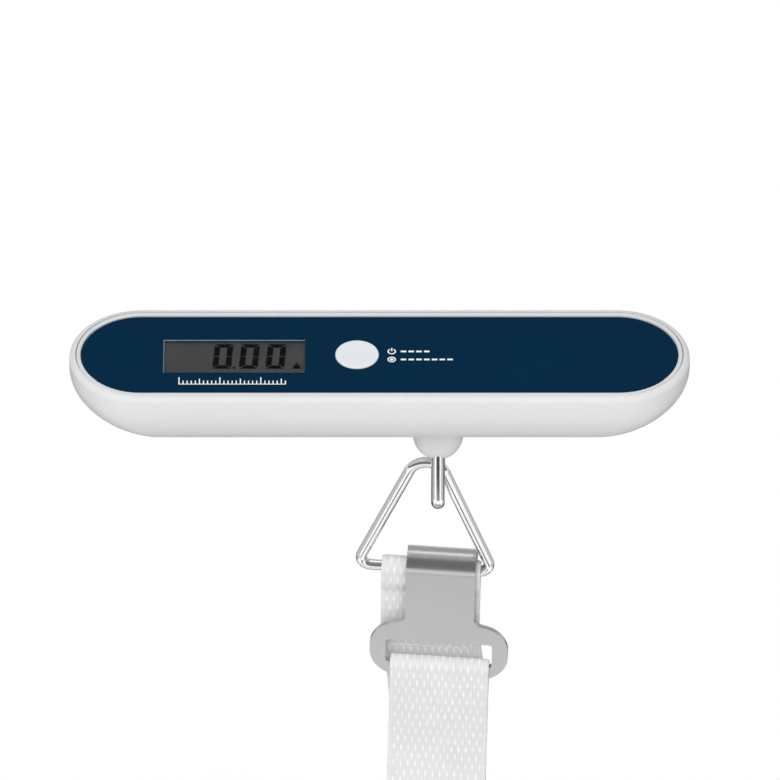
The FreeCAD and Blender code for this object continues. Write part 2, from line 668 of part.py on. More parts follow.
def build_switch():
    case = box("switch_case", d.switch_side, d.switch_side, d.switch_height, d.button_x, 0, -d.board_top)
    well_foot = -d.board_top + d.switch_floor
    well = cylinder("switch_well", d.plunger_radius + d.bore_gap, d.switch_height, d.button_x, 0, well_foot)
    keep("push_switch", boolean("Cut", "push_switch", case, well))
    foot = -d.button_stem_end - d.plunger_length
    keep("switch_plunger", cylinder("plunger", d.plunger_radius, d.plunger_length, d.button_x, 0, foot))


def build_button():
    body = new_body("button_cap")
    flange_top = -(d.cover_bottom + d.flange_gap)
    pad(body, disc, (d.button_radius,), d.button_proud - flange_top, d.button_x, 0, flange_top)
    soften(body, "Fillet", d.button_rounding, at_level(d.button_proud))
    pad(body, disc, (d.button_flange_radius,), d.button_flange, d.button_x, 0, flange_top - d.button_flange)
    stem = d.button_stem_end + flange_top - d.button_flange
    pad(body, disc, (d.button_stem_radius,), stem, d.button_x, 0, -d.button_stem_end)
    keep("button_cap", body)


# ---------------------------------------------------------------- battery

def build_battery():
    cell_foot = -d.cell_top - d.cell_height
    can = cylinder("cell_can", d.cell_radius, d.cell_height - d.cell_step, d.cell_x, 0, cell_foot)
    cap_foot = -d.cell_top - d.cell_step
    cap = cylinder("cell_cap", d.cell_radius - d.cell_rim, d.cell_step, d.cell_x, 0, cap_foot)
    keep("coin_cell", boolean("MultiFuse", "coin_cell", can, cap))

    under = -(d.board_top + d.board_thickness)
    thin, wide = d.contact_thickness, d.contact_width
    x = d.cell_x + d.cell_radius + d.tab_gap
    tab = box("positive_tab", thin, wide, d.tab_drop - thin, x + thin / 2, 0, under - d.tab_drop)
    foot = box("positive_foot", d.foot_length, wide, thin, x + d.foot_length / 2, 0, under - thin)
    keep("positive_contact", boolean("MultiFuse", "positive_contact", tab, foot))

    flat = box("negative_flat", d.flat_length, wide, thin, d.cell_x - d.flat_offset, 0, under - thin)
    leg = box("negative_leg", thin, wide, d.cell_top + under, d.cell_x - thin / 2, 0, -d.cell_top)
    touch = box("negative_touch", d.touch_length, wide, thin, d.cell_x + d.touch_offset, 0, -d.cell_top)
    keep("negative_contact", boolean("MultiFuse", "negative_contact", flat, leg, touch))


# ---------------------------------------------------------------- load cell

def build_load_cell():
    """The bending bar: two bores joined by a slit make it weak under the gauges."""
    body = new_body("load_cell")
    middle = d.boss_x - d.load_cell_overhang + d.load_cell_length / 2
    bottom = -(d.load_cell_top + d.load_cell_height)
    pad(body, rectangle, (d.load_cell_length, d.load_cell_width), d.load_cell_height, middle, 0, bottom)
    centre_drop = d.load_cell_top + d.load_cell_height / 2
    across = dict(role="XZ_Plane", both=True)
    for side in (-1, 1):
        bore_x = d.gauge_x + side * d.cell_hole_offset
        pocket(body, disc, (d.cell_hole_radius,), d.load_cell_width * 2, bore_x, -centre_drop, 0, **across)
    slit = (d.cell_hole_offset * 2, d.cell_slit)
    pocket(body, rectangle, slit, d.load_cell_width * 2, d.gauge_x, -centre_drop, 0, **across)
    through, start = d.load_cell_height + ABOVE * 2, -d.load_cell_top + ABOVE
    for side in (-1, 1):
        pocket(body, disc, (d.hook_wire + d.bore_gap,), through, d.boss_x, side * d.hook_half_gap, start)
    for x in seat_screw_places():
        pocket(body, disc, (d.seat_screw_radius + d.bore_gap * 2,), through, x, 0, start)
    keep("load_cell", body)

    screws = []
    for i, x in enumerate(seat_screw_places()):
        head = cylinder(f"seat_head_{i}", d.seat_head_radius, d.seat_head_height, x, 0, -d.load_cell_top)
        shank_foot = -d.load_cell_top - d.seat_screw_length
        shank = cylinder(f"seat_shank_{i}", d.seat_screw_radius, d.seat_screw_length, x, 0, shank_foot)
        screws.append(boolean("MultiFuse", f"seat_screw_{i}", head, shank))
    group("load_cell_screws", screws)


def build_gauges():
    thin, top = d.gauge_thickness, -d.load_cell_top
    bottom = top - d.load_cell_height
    gauges = [
        box("gauge_top", d.gauge_length, d.gauge_width, thin, d.gauge_x, 0, top),
        box("gauge_bottom", d.gauge_length, d.gauge_width, thin, d.gauge_x, 0, bottom - thin),
    ]
    group("strain_gauges", gauges)

    sealant = new_body("gauge_sealant")
    pad(sealant, stadium, (d.sealant_length, d.sealant_width), d.sealant_height, d.gauge_x, 0, top)
    soften(sealant, "Fillet", d.sealant_rounding, at_level(top + d.sealant_height))
    pocket(sealant, rectangle, (d.gauge_length, d.gauge_width), thin, d.gauge_x, 0, top + thin)
    keep("gauge_sealant", sealant)


def build_wires():
    """Four wires from the sealant, up and along under the cover, and down to the board."""
    start_x = float(d.gauge_x) - float(d.sealant_length) / 2 - float(d.wire_start_gap)
    start_z = float(d.wire_start_rise) - float(d.load_cell_top)
    rise_x, end_x = float(d.wire_rise_x), float(d.wire_end_x)
    over, board = -float(d.wire_over), -float(d.board_top)
    wires = []
    for i in range(4):
        y = float(d.wire_pitch) * (i - 1.5)
        route = [Vector(x, y, z) for x, z in (
            (start_x, start_z), (rise_x, start_z), (rise_x, over), (end_x, over), (end_x, board))]
        wires.append(from_shape(f"wire_{i}", tube(route, float(d.wire_bend), float(d.wire_radius))))
    group("load_cell_wires", wires)


# ---------------------------------------------------------------- hook

def build_hook():
    legs = []
    length = d.hook_bowl_drop - d.hook_leg_top
    for label, side in (("front", -1), ("back", 1)):
        y = side * d.hook_half_gap
        legs.append(cylinder(f"leg_{label}", d.hook_wire, length, d.boss_x, y, -d.hook_bowl_drop))
    bowl = doc.addObject("Part::Torus", "bowl")
    bind(bowl, Radius1=d.hook_half_gap, Radius2=d.hook_wire, Angle3=180)
    bowl.Placement = Placement(Vector(0, 0, 0), Rotation(Y, 90).multiply(Rotation(Z, -90)))
    bind_place(bowl, "Placement", d.boss_x, 0, -d.hook_bowl_drop)
    keep("hook", boolean("MultiFuse", "hook", *legs, bowl))


def build_hook_fastening():
    """The plate that spreads the hook's pull over the load cell, and the two nuts on it."""
    bridge = new_body("hook_bridge")
    pad(bridge, stadium, (d.bridge_width, d.bridge_length), d.bridge_thickness, 0, 0, -d.load_cell_top)
    bridge.Placement = Placement(Vector(float(d.boss_x), 0, 0), Rotation(Z, 90))
    through, start = d.bridge_thickness + ABOVE * 2, d.bridge_thickness - d.load_cell_top + ABOVE
    for side in (-1, 1):
        pocket(bridge, disc, (d.hook_wire + d.bore_gap,), through, side * d.hook_half_gap, 0, start)
    keep("hook_bridge", bridge)

    nuts = []
    corner = d.nut_flats / (2 * math.cos(math.radians(30)))
    foot = -d.load_cell_top + d.bridge_thickness
    for i, side in enumerate((-1, 1)):
        y = side * d.hook_half_gap
        prism = doc.addObject("Part::Prism", f"nut_{i}")
        prism.Polygon = 6
        bind(prism, Circumradius=corner, Height=d.nut_height)
        bind_place(prism, "Placement", d.boss_x, y, foot)
        bore = cylinder(f"nut_bore_{i}", d.hook_wire, d.nut_height + ABOVE, d.boss_x, y, foot - ABOVE / 2)
        nuts.append(boolean("Cut", f"hook_nut_{i}", prism, bore))
    group("hook_nuts", nuts)


def build_screws():
    screws = []
    head_foot = -(d.panel_thickness + d.adhesive_gap + d.screw_sink)
    for i, (x, y) in enumerate(screw_places()):
        head = cylinder(f"cover_head_{i}", d.screw_head_radius, d.screw_head_height, x, y, head_foot)
        shank = cylinder(f"cover_shank_{i}", d.screw_radius, d.screw_length, x, y, head_foot - d.screw_length)
        screws.append(boolean("MultiFuse", f"cover_screw_{i}", head, shank))
    group("cover_screws", screws)


# ---------------------------------------------------------------- ring, buckle and strap

def hanging():
    """Where the ring's own frame lies: under the hook, turned a little to the reader and rolled."""
    turn = Rotation(Z, float(d.ring_yaw)).multiply(Rotation(Y, float(d.ring_roll)))
    return Placement(Vector(float(d.ring_x), 0, -float(d.ring_drop)), turn)


def build_ring():
    body = new_body("triangle_ring")
    path = sketch_on(body, "XZ_Plane")
    half, low = float(d.ring_width) / 2, -float(d.ring_height)
    ra, rc = float(d.apex_radius), float(d.corner_radius)
    corner = Vector(half - rc, low + rc, 0)
    apex = Vector(0, -ra, 0)
    reach = corner - apex
    facing = math.acos((ra - rc) / reach.Length) - math.atan2(-reach.y, reach.x)
    out = Vector(math.cos(facing), math.sin(facing), 0)
    left = Vector(-out.x, out.y, 0)
    far = Vector(-corner.x, corner.y, 0)
    pieces = [
        Part.LineSegment(apex + out * ra, corner + out * rc),
        Part.ArcOfCircle(Part.Circle(corner, Vector(0, 0, 1), rc), -math.pi / 2, facing),
        Part.LineSegment(corner - Vector(0, rc, 0), far - Vector(0, rc, 0)),
        Part.ArcOfCircle(Part.Circle(far, Vector(0, 0, 1), rc), math.pi - facing, 1.5 * math.pi),
        Part.LineSegment(far + left * rc, apex + left * ra),
        Part.ArcOfCircle(Part.Circle(apex, Vector(0, 0, 1), ra), facing, math.pi - facing),
    ]
    for piece in pieces:
        path.addGeometry(piece, False)
    joins = [(0, 2, 1, 2), (1, 1, 2, 1), (2, 2, 3, 2), (3, 1, 4, 1), (4, 2, 5, 2), (5, 1, 0, 1)]
    for join in joins:
        path.addConstraint(Sketcher.Constraint("Tangent", *join))
    path.addConstraint(Sketcher.Constraint("Symmetric", 1, 3, 3, 3, -2))
    path.addConstraint(Sketcher.Constraint("PointOnObject", 5, 3, -2))
    hold(path, "Radius", 5, d.apex_radius)
    hold(path, "Radius", 1, d.corner_radius)
    hold(path, "Radius", 3, d.corner_radius)
    hold(path, "DistanceY", -1, 1, 5, 3, -d.apex_radius)
    hold(path, "DistanceY", -1, 1, 1, 3, -d.ring_height + d.corner_radius)
    hold(path, "DistanceX", 3, 3, 1, 3, d.ring_width - d.corner_radius * 2)
    section = sketch_on(body, "YZ_Plane", 0, -d.ring_height, 0)
    disc(section, d.ring_wire)
    pipe = body.newObject("PartDesign::AdditivePipe", "ring_pipe")
    pipe.Profile = section
    pipe.Spine = (path, ["Edge3", "Edge4", "Edge5", "Edge6", "Edge1", "Edge2"])
    doc.recompute()
    body.Tip = pipe
    body.Placement = hanging()
    keep("triangle_ring", body)


def side_route(places):
    """Points in the ring's YZ plane."""
    return [Vector(0, y, z) for y, z in places]


def thicken(edges, thickness, width, centre_x):
    """Gives a route in the YZ plane a thickness, and a width about centre_x."""
    half = thickness / 2
    ends = X * (centre_x - width / 2), X * (centre_x + width / 2)
    solids = []
    for edge in edges:
        ahead = edge.tangentAt(edge.FirstParameter)
        side = ahead.cross(X).normalize()
        start = edge.valueAt(edge.FirstParameter)
        a, b = start + side * half, start - side * half
        corners = [a + ends[0], a + ends[1], b + ends[1], b + ends[0]]
        face = Part.Face(Part.makePolygon(corners + corners[:1]))
        if edge.Curve.TypeId == "Part::GeomLine":
            solids.append(face.extrude(edge.valueAt(edge.LastParameter) - start))
        else:
            centre, axis = edge.Curve.Center, edge.Curve.Axis
            turn = math.degrees(edge.LastParameter - edge.FirstParameter)
            solids.append(face.revolve(centre, axis, turn))
    return solids[0].multiFuse(solids[1:]).removeSplitter()


def build_strap():
    """The webbing in two solids that meet under the loop: the ring's end, and the buckle's end."""
    width, thick = float(d.web_width), float(d.web_thickness)
    bar, bottom = -float(d.ring_height), -float(d.buckle_bottom)
    layer = (thick + float(d.layer_gap)) / 2
    front = -float(d.roll_inner + d.sheet_thickness + d.tail_gap) - thick / 2
    bow, low = float(d.loop_radius), -float(d.loop_bottom) + thick / 2
    middle = front + float(d.loop_shift)

    eye = float(d.ring_wire + d.web_clearance) + thick / 2
    eye_foot, eye_end = bar - float(d.eye_foot), bar - float(d.eye_end)
    back_route = [
        (layer, bar - float(d.sewn_end)), (layer, eye_end), (eye, eye_foot), (eye, bar + eye),
        (-eye, bar + eye), (-eye, eye_foot), (-layer, eye_end), (-layer, bar - float(d.back_straight)),
        (middle + bow, low + bow + float(d.loop_back_rise)), (middle + bow, low), (middle, low),
    ]
    ease, sweep = float(d.layer_bend), float(d.loop_bend)
    edges = rounded_edges(side_route(back_route), [ease, ease, eye, eye, ease, ease, sweep, sweep, bow])
    back = thicken(edges, thick, width, float(d.back_web_x))
    keep("strap_back", from_shape("strap_back", back, hanging()))

    tail = -float(d.roll_inner - d.tail_gap) + thick / 2
    fold_radius = (tail - front) / 2
    fold = -float(d.slot_bottom + d.fold_gap) + fold_radius
    tail_rest = front + 2 * layer
    split = float(d.loop_split)
    front_route = [
        (tail_rest, bottom - float(d.tail_end)), (tail_rest, bottom - float(d.tail_foot)),
        (tail, bottom - float(d.tail_neck)), (tail, fold), (front, fold),
        (front, bottom - float(d.front_straight)), (middle - bow, low + bow + float(d.loop_front_rise)),
        (middle - bow, low), (middle - split, low),
    ]
    ease, turn = float(d.tail_bend), float(d.front_bend)
    radii = [ease, ease, fold_radius, fold_radius, sweep, turn, bow - split]
    front_web = thicken(rounded_edges(side_route(front_route), radii), thick, width, float(d.front_web_x))
    keep("strap_front", from_shape("strap_front", front_web, hanging()))


def buckle_outline():
    """The flat buckle's outline in X and Z, in front of the sheet: a neck above two rounded lobes."""
    x0, neck, lobe = float(d.buckle_x), float(d.neck_width) / 2, float(d.lobe_width) / 2
    lobe_top, bottom = -float(d.lobe_top), -float(d.buckle_bottom)
    rounding, fillet = float(d.lobe_rounding), float(d.neck_fillet)
    right = [(neck, 0), (neck, lobe_top), (lobe, lobe_top), (lobe, bottom)]
    places = right + [(-x, z) for x, z in reversed(right)] + right[:1]
    points = [Vector(x0 + x, -CUTTER_REACH / 2, z) for x, z in places]
    radii = [fillet, rounding, rounding, rounding, rounding, fillet, 0]
    return Part.Face(Part.Wire(rounded_edges(points, radii)))


def buckle_slot():
    width, height = float(d.slot_width), float(d.slot_bottom - d.slot_top)
    corner = Vector(float(d.buckle_x) - width / 2, -CUTTER_REACH, -float(d.slot_bottom))
    slot = Part.makeBox(width, CUTTER_REACH, height, corner)
    front_to_back = [e for e in slot.Edges if abs(e.tangentAt(e.FirstParameter).y) > 0.9]
    return slot.makeFillet(float(d.slot_rounding), front_to_back)


def build_buckle():
    """A sheet rolled over the ring's bar and flat below it, cut to its outline and slotted for the strap."""
    thick, inner = float(d.sheet_thickness), float(d.roll_inner)
    roll_z = float(d.roll_raise) - float(d.ring_height)
    middle = inner + thick / 2
    route = [
        (middle, roll_z - float(d.roll_lip)), (middle, roll_z + middle), (-middle, roll_z + middle),
        (-middle, -float(d.buckle_bottom) - thick),
    ]
    edges = rounded_edges(side_route(route), [middle, middle])
    rolled = thicken(edges, thick, float(d.lobe_width) + 2 * thick, float(d.buckle_x))
    flat = rolled.common(buckle_outline().extrude(Vector(0, CUTTER_REACH, 0)))
    plate = flat.cut(buckle_slot()).removeSplitter()
    keep("plate_buckle", from_shape("plate_buckle", plate, hanging()))


# ---------------------------------------------------------------- whole object

def check_and_write():
    doc.recompute()
    for thing in doc.Objects:
        if "Invalid" in thing.State or "Error" in thing.State:
            raise RuntimeError(f"{thing.Name} ({thing.Label}) is {thing.State}")
    for node, thing in nodes.items():
        shape = thing.Shape
        if shape.isNull() or not shape.isValid() or not shape.Solids:
            raise RuntimeError(f"{node} has no valid solid")
        print(f"{node:18s} {len(shape.Solids)} solid(s) {shape.Volume:10.2f} mm3")
    os.makedirs("parts", exist_ok=True)
    for node, thing in nodes.items():
        thing.Shape.exportStep(f"parts/{node}.step")


build_lower_shell()
build_battery_door()
build_top_cover()
build_panel()
build_display()
build_board()
build_switch()
build_button()
build_battery()
build_load_cell()
build_gauges()
build_wires()
build_hook()
build_hook_fastening()
build_screws()
build_ring()
build_buckle()
build_strap()
check_and_write()
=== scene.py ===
import json
import math
import random

import bmesh
import bpy
from mathutils import Matrix, Vector


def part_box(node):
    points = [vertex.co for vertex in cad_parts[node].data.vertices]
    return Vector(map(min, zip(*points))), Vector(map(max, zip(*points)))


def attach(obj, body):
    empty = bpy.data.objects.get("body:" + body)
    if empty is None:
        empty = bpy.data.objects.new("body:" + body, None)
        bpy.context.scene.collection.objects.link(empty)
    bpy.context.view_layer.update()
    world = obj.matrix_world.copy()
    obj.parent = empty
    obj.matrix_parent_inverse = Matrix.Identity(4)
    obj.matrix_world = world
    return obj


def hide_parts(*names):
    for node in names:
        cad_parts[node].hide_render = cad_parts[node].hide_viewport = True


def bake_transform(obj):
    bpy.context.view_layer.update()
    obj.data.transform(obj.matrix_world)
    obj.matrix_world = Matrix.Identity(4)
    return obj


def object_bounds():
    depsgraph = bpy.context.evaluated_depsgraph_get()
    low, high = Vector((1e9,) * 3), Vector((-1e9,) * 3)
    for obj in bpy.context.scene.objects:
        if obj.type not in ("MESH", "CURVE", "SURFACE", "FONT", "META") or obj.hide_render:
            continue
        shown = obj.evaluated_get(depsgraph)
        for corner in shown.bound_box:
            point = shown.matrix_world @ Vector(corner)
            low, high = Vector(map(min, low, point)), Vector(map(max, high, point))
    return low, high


# The looks of a digital luggage scale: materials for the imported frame, the marks on its display and panel,
# and the webbing as a woven strip. Metres, in the frame's own axes: +X along the handle, -Y to the reader,
# +Z up.

MM = 0.001
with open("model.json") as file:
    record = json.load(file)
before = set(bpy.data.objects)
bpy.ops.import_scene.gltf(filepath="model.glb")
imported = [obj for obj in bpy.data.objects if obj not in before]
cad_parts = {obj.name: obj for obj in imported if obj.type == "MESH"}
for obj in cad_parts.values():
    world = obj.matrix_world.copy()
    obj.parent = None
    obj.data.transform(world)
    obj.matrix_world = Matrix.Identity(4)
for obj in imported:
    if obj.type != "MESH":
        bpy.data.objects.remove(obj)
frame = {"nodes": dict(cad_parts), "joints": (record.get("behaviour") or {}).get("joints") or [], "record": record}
cad_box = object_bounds()
joints = {joint["name"]: joint for joint in frame["joints"]}
rng = random.Random(7)      # the weave's unevenness, then the stitches'

# ---------------------------------------------------------------- driving dimensions, in millimetres

WEB_WIDTH = 24.6
WEB_THICKNESS = 1.4
WEB_RELIEF = 0.16          # how far a warp yarn stands above the weft
WARP_PITCH = 0.9           # from one warp yarn to the next
WEFT_PITCH = 2.6           # from one weft pick to the next
SELVAGE = 1.1              # the plain band along each edge
WARP_STEPS, WEFT_STEPS = 4, 6    # mesh steps for each yarn and each pick
SELVAGE_LINES = (0.0, 0.12, 0.4, 0.8)   # the mesh's lines in the selvage, from the webbing's edge
SELVAGE_HEIGHT, SELVAGE_RIPPLE = 0.30, 0.12     # shares of the relief
YARN_FLOOR = 0.12          # a yarn's lowest height, as a share of its highest
CREST_SHARPNESS = 3.6      # the higher, the shorter each crest
WOBBLE_COUNT = 97          # how many crests differ before their heights and shifts repeat
EDGE_TAPER, EDGE_SHARE = 0.7, 0.45      # how far in the edge thins, and what share of the thickness is left
SEAL_LENGTH, SEAL_SHARE = 0.8, 0.6      # the same for an end cut with heat

EYE_X, LOOP_BACK_X, FRONT_WEB_X = 1.6, 4.2, 4.5     # each layer's middle, along the ring's bar
DRIFT_START, DRIFT_SHARE = 0.38, 0.24   # where on the ring's end it shifts sideways, as shares of its length
EYE_LAYER = 0.73                        # from the eye's middle to the middle of each of its two layers
LOOP_CUT = -93.0                        # level where the loop's lower end starts, from the ring's bar

# The strip's route round the bar, the loop and the buckle's slot: (y, z) from the bar's centre in the ring's
# own frame, and the bend at each inner point.
FRONT_ROUTE = [(-3.74, -51.6), (-3.74, -37.6), (-2.35, -32.8), (-2.35, -26.275), (-5.2, -26.275),
               (-5.2, -57.6), (-12.0, -87.1), (-12.0, LOOP_CUT)]
FRONT_BENDS = [2.2, 2.2, 1.42, 1.42, 60.0, 40.0]
LOOP_ROUTE = [(-12.0, LOOP_CUT), (-12.0, -104.1), (2.0, -104.1), (2.0, LOOP_CUT)]
LOOP_BENDS = [6.99, 6.99]
BACK_ROUTE = [(2.0, LOOP_CUT), (2.0, -75.1), (-0.73, -36.0), (-0.73, -7.0), (-2.15, -3.5), (-2.15, 2.15),
              (2.15, 2.15), (2.15, -3.5), (0.73, -7.0), (0.73, -27.0)]
BACK_BENDS = [60.0, 60.0, 2.6, 2.6, 2.14, 2.14, 2.6, 2.6]

SEWN_ROWS = (-19.0, -21.5, -24.0)       # the rows of stitches that close the eye, from the bar
STITCH_LENGTH, STITCH_GAP, STITCH_RADIUS = 1.5, 0.5, 0.2
STITCH_SINK, STITCH_JITTER = 0.1, 0.05
# The webbing's ramp paints shade by the weave's height, so a place near its palest end leaves the threads nearly
# unshaded.
THREAD_TONE = 0.9                       # a place on the webbing's ramp of tones, near its palest

DIGIT_HEIGHT, DIGIT_WIDTH, DIGIT_PITCH, DIGIT_SLANT = 9.4, 4.6, 6.5, 0.065
DIGIT_STROKE, DIGIT_BAR, SEGMENT_GAP = 1.45, 1.3, 0.09
DIGIT_COUNT, DIGITS_LEFT, DIGITS_RISE = 3, -22.7, 0.9   # from the window's right end and its middle line
POINT_OFFSET, POINT_SIZE = 5.0, (0.7, 0.75)
INK_THICKNESS = 0.03

TICK_COUNT, TICK_PITCH, TICK_LEFT, TICK_FOOT = 27, 1.0, -49.0, -11.1
TICK_HALF_WIDTH, RULER_THICKNESS = 0.14, 0.25
MARK_X, MARK_ROWS = 3.0, (1.35, -1.75)  # the symbols beside the button
MARK_RADIUS, MARK_STROKE = 1.05, 0.32
DASH_COUNTS, DASH_FIRST, DASH_PITCH, DASH_LENGTH = (4, 7), 2.2, 1.9, 1.35
DASH_HALF_HEIGHT = 0.3

FLOOR_DROP = 0.28                       # metres from the loop's lower end to the floor
FLOOR_RADIUS = 12.0                     # metres
CARD_RADII, CARD_HALF_TURN = (0.47, 0.62), 26   # the front card's edges in metres, and degrees to each side

CAMERA_ELEVATION, CAMERA_DISTANCE, CAMERA_LENS = 39.5, 4000.0, 754.0
CAMERA_AIM = Vector((2.57, -5.45, -6.62))   # from the centre of the panel's top


# ---------------------------------------------------------------- material helpers

def link(tree, source, target):
    tree.links.new(source, target)


def add(tree, kind, **inputs):
    """A node with its inputs set: a number or colour sets the socket, and a socket is linked to it."""
    node = tree.nodes.new("ShaderNode" + kind)
    for name, value in inputs.items():
        socket = node.inputs[name.replace("_", " ")]
        if isinstance(value, bpy.types.NodeSocket):
            link(tree, value, socket)
        else:
            socket.default_value = value
    return node


def ramp(tree, factor, stops):
    """A colour ramp whose stops are (place, grey or colour)."""
    node = tree.nodes.new("ShaderNodeValToRGB")
    elements = node.color_ramp.elements
    while len(elements) < len(stops):
        elements.new(0.5)
    for element, (place, colour) in zip(elements, stops):
        element.position = place
        grey = isinstance(colour, (int, float))
        element.color = (colour, colour, colour, 1) if grey else (*colour, 1)
    link(tree, factor, node.inputs["Fac"])
    return node.outputs["Color"]


def coordinates(tree, stretch=(1, 1, 1), attribute=None):
    """Places in metres on the piece, or a named attribute of its mesh, stretched along each axis."""
    if attribute:
        node = tree.nodes.new("ShaderNodeAttribute")
        node.attribute_name = attribute
        source = node.outputs["Vector"]
    else:
        source = tree.nodes.new("ShaderNodeTexCoord").outputs["Object"]
    mapping = add(tree, "Mapping", Vector=source)
    mapping.inputs["Scale"].default_value = stretch
    return mapping.outputs["Vector"]


def noise(tree, vector, scale, detail=3.0, roughness=0.55):
    node = add(tree, "TexNoise", Vector=vector, Scale=scale, Detail=detail, Roughness=roughness)
    return node.outputs["Fac"]


def shades(colour, spread):
    """A darker and a lighter version of a colour."""
    return [tuple(min(1.0, c * k) for c in colour) for k in (1 - spread, 1 + spread)]


def material(name, colour, roughness, spread=0.04, patch=60.0, grain=1500.0, relief=0.0, rough_spread=0.12,
             stretch=(1, 1, 1), **constants):
    """A surface whose tone and roughness vary in soft patches and whose grain is a fine bump."""
    mat = bpy.data.materials.new(name)
    mat.use_nodes = True
    tree = mat.node_tree
    shader = tree.nodes["Principled BSDF"]
    place = coordinates(tree, stretch)
    patches = noise(tree, place, patch)
    dark, light = shades(colour, spread)
    link(tree, ramp(tree, patches, [(0.3, dark), (0.7, light)]), shader.inputs["Base Color"])
    fine = noise(tree, place, grain, detail=2.0)
    low, high = roughness * (1 - rough_spread), roughness * (1 + rough_spread)
    link(tree, ramp(tree, fine, [(0.3, low), (0.7, high)]), shader.inputs["Roughness"])
    if relief:
        bump = add(tree, "Bump", Height=fine, Distance=relief * MM, Strength=0.6)
        link(tree, bump.outputs["Normal"], shader.inputs["Normal"])
    for socket, value in constants.items():
        shader.inputs[socket.replace("_", " ")].default_value = value
    return mat


def webbing_material():
    """White polyester webbing: pale yarns with painted shade where they dip, and fibres along each yarn."""
    mat = bpy.data.materials.new("webbing_white")
    mat.use_nodes = True
    tree = mat.node_tree
    shader = tree.nodes["Principled BSDF"]
    height = tree.nodes.new("ShaderNodeAttribute")
    height.attribute_name = "relief"
    # Painted shade: the weave's height (the mesh's relief attribute) becomes a darker grey where the yarns dip and
    # a paler one on their crests; the lower selvages come out darker too.
    tone = ramp(tree, height.outputs["Fac"], [(0.0, 0.65), (0.4, 0.72), (0.95, 0.85)])
    strip = coordinates(tree, attribute="strip")
    patches = noise(tree, coordinates(tree), 90.0)
    cloud = ramp(tree, patches, [(0.3, (0.94, 0.94, 0.95)), (0.7, (1.0, 1.0, 1.0))])
    mix = tree.nodes.new("ShaderNodeMix")
    mix.data_type, mix.blend_type = "RGBA", "MULTIPLY"
    mix.inputs["Factor"].default_value = 1.0
    link(tree, tone, mix.inputs["A"])
    link(tree, cloud, mix.inputs["B"])
    link(tree, mix.outputs["Result"], shader.inputs["Base Color"])
    mapping = add(tree, "Mapping", Vector=strip)
    mapping.inputs["Scale"].default_value = (9.0, 0.8, 1.0)
    fibres = noise(tree, mapping.outputs["Vector"], 1.0, detail=3.0)
    link(tree, ramp(tree, fibres, [(0.3, 0.62), (0.7, 0.85)]), shader.inputs["Roughness"])
    bump = add(tree, "Bump", Height=fibres, Distance=0.05 * MM, Strength=0.7)
    link(tree, bump.outputs["Normal"], shader.inputs["Normal"])
    shader.inputs["Sheen Weight"].default_value = 0.25
    shader.inputs["Sheen Roughness"].default_value = 0.5
    shader.inputs["Specular IOR Level"].default_value = 0.25
    return mat


def window_material():
    """The clear lens: nearly see-through, with a soft gloss."""
    mat = material("display_window_clear", (0.02, 0.022, 0.025), 0.06, spread=0.02, grain=400.0)
    shader = mat.node_tree.nodes["Principled BSDF"]
    shader.inputs["Alpha"].default_value = 0.07
    shader.inputs["Specular IOR Level"].default_value = 0.4
    return mat


def make_materials():
    """One material for each slot of the record."""
    shell = dict(roughness=0.34, spread=0.012, patch=30.0, grain=2200.0, relief=0.004)
    return {
        "shell_plastic": material("shell_white", (0.66, 0.66, 0.66), **shell),
        "cover_plastic": material("cover_white", (0.63, 0.635, 0.64), **shell),
        "panel_acrylic": material("panel_navy", (0.0, 0.0195, 0.050), 0.42, spread=0.05, patch=40.0,
                                  grain=1800.0, relief=0.002, Specular_IOR_Level=0.03),
        "adhesive_film": material("adhesive_pale", (0.6, 0.6, 0.55), 0.7),
        "display_window": window_material(),
        "lcd_glass": material("lcd_grey", (0.062, 0.064, 0.062), 0.45, spread=0.1, patch=120.0,
                              Specular_IOR_Level=0.1),
        "inner_plastic": material("inner_black", (0.03, 0.03, 0.033), 0.5, relief=0.01),
        "strip_rubber": material("strip_rubber", (0.05, 0.05, 0.05), 0.8, relief=0.01),
        "board_laminate": material("board_green", (0.015, 0.12, 0.05), 0.4, spread=0.2, patch=400.0),
        "epoxy": material("epoxy_black", (0.01, 0.01, 0.01), 0.2),
        "chip_ceramic": material("chip_brown", (0.18, 0.12, 0.07), 0.5, spread=0.2, patch=900.0),
        "screw_steel": material("screw_zinc", (0.62, 0.62, 0.60), 0.3, Metallic=1.0, relief=0.004),
        "plunger_plastic": material("plunger_red", (0.45, 0.05, 0.04), 0.45),
        "button_plastic": material("button_white", (0.72, 0.75, 0.78), 0.42, spread=0.01, patch=120.0,
                                   grain=3000.0, relief=0.005),
        "cell_steel": material("cell_steel", (0.7, 0.7, 0.68), 0.25, Metallic=1.0, relief=0.003),
        "contact_metal": material("contact_bronze", (0.72, 0.56, 0.3), 0.3, Metallic=1.0),
        "load_cell_aluminium": material("cell_aluminium", (0.76, 0.77, 0.78), 0.32, Metallic=1.0,
                                        stretch=(0.1, 1, 1), grain=2500.0, relief=0.006),
        "gauge_foil": material("gauge_amber", (0.55, 0.28, 0.06), 0.35),
        "sealant_rubber": material("sealant_white", (0.75, 0.75, 0.72), 0.6, relief=0.02),
        "wire_insulation": material("wire_red", (0.45, 0.03, 0.03), 0.45),
        "hook_steel": material("hook_nickel", (0.93, 0.92, 0.91), 0.07, spread=0.03, Metallic=1.0,
                               stretch=(1, 1, 0.12), grain=2600.0, relief=0.0015),
        "plate_steel": material("plate_zinc", (0.6, 0.6, 0.58), 0.32, Metallic=1.0),
        "ring_steel": material("ring_nickel", (0.93, 0.92, 0.91), 0.07, spread=0.03, Metallic=1.0,
                               grain=1600.0, relief=0.0015),
        "buckle_steel": material("buckle_satin", (0.64, 0.64, 0.64), 0.3, spread=0.015, Metallic=1.0,
                                 grain=900.0, rough_spread=0.08, relief=0.001),
        "webbing": webbing_material(),
    }


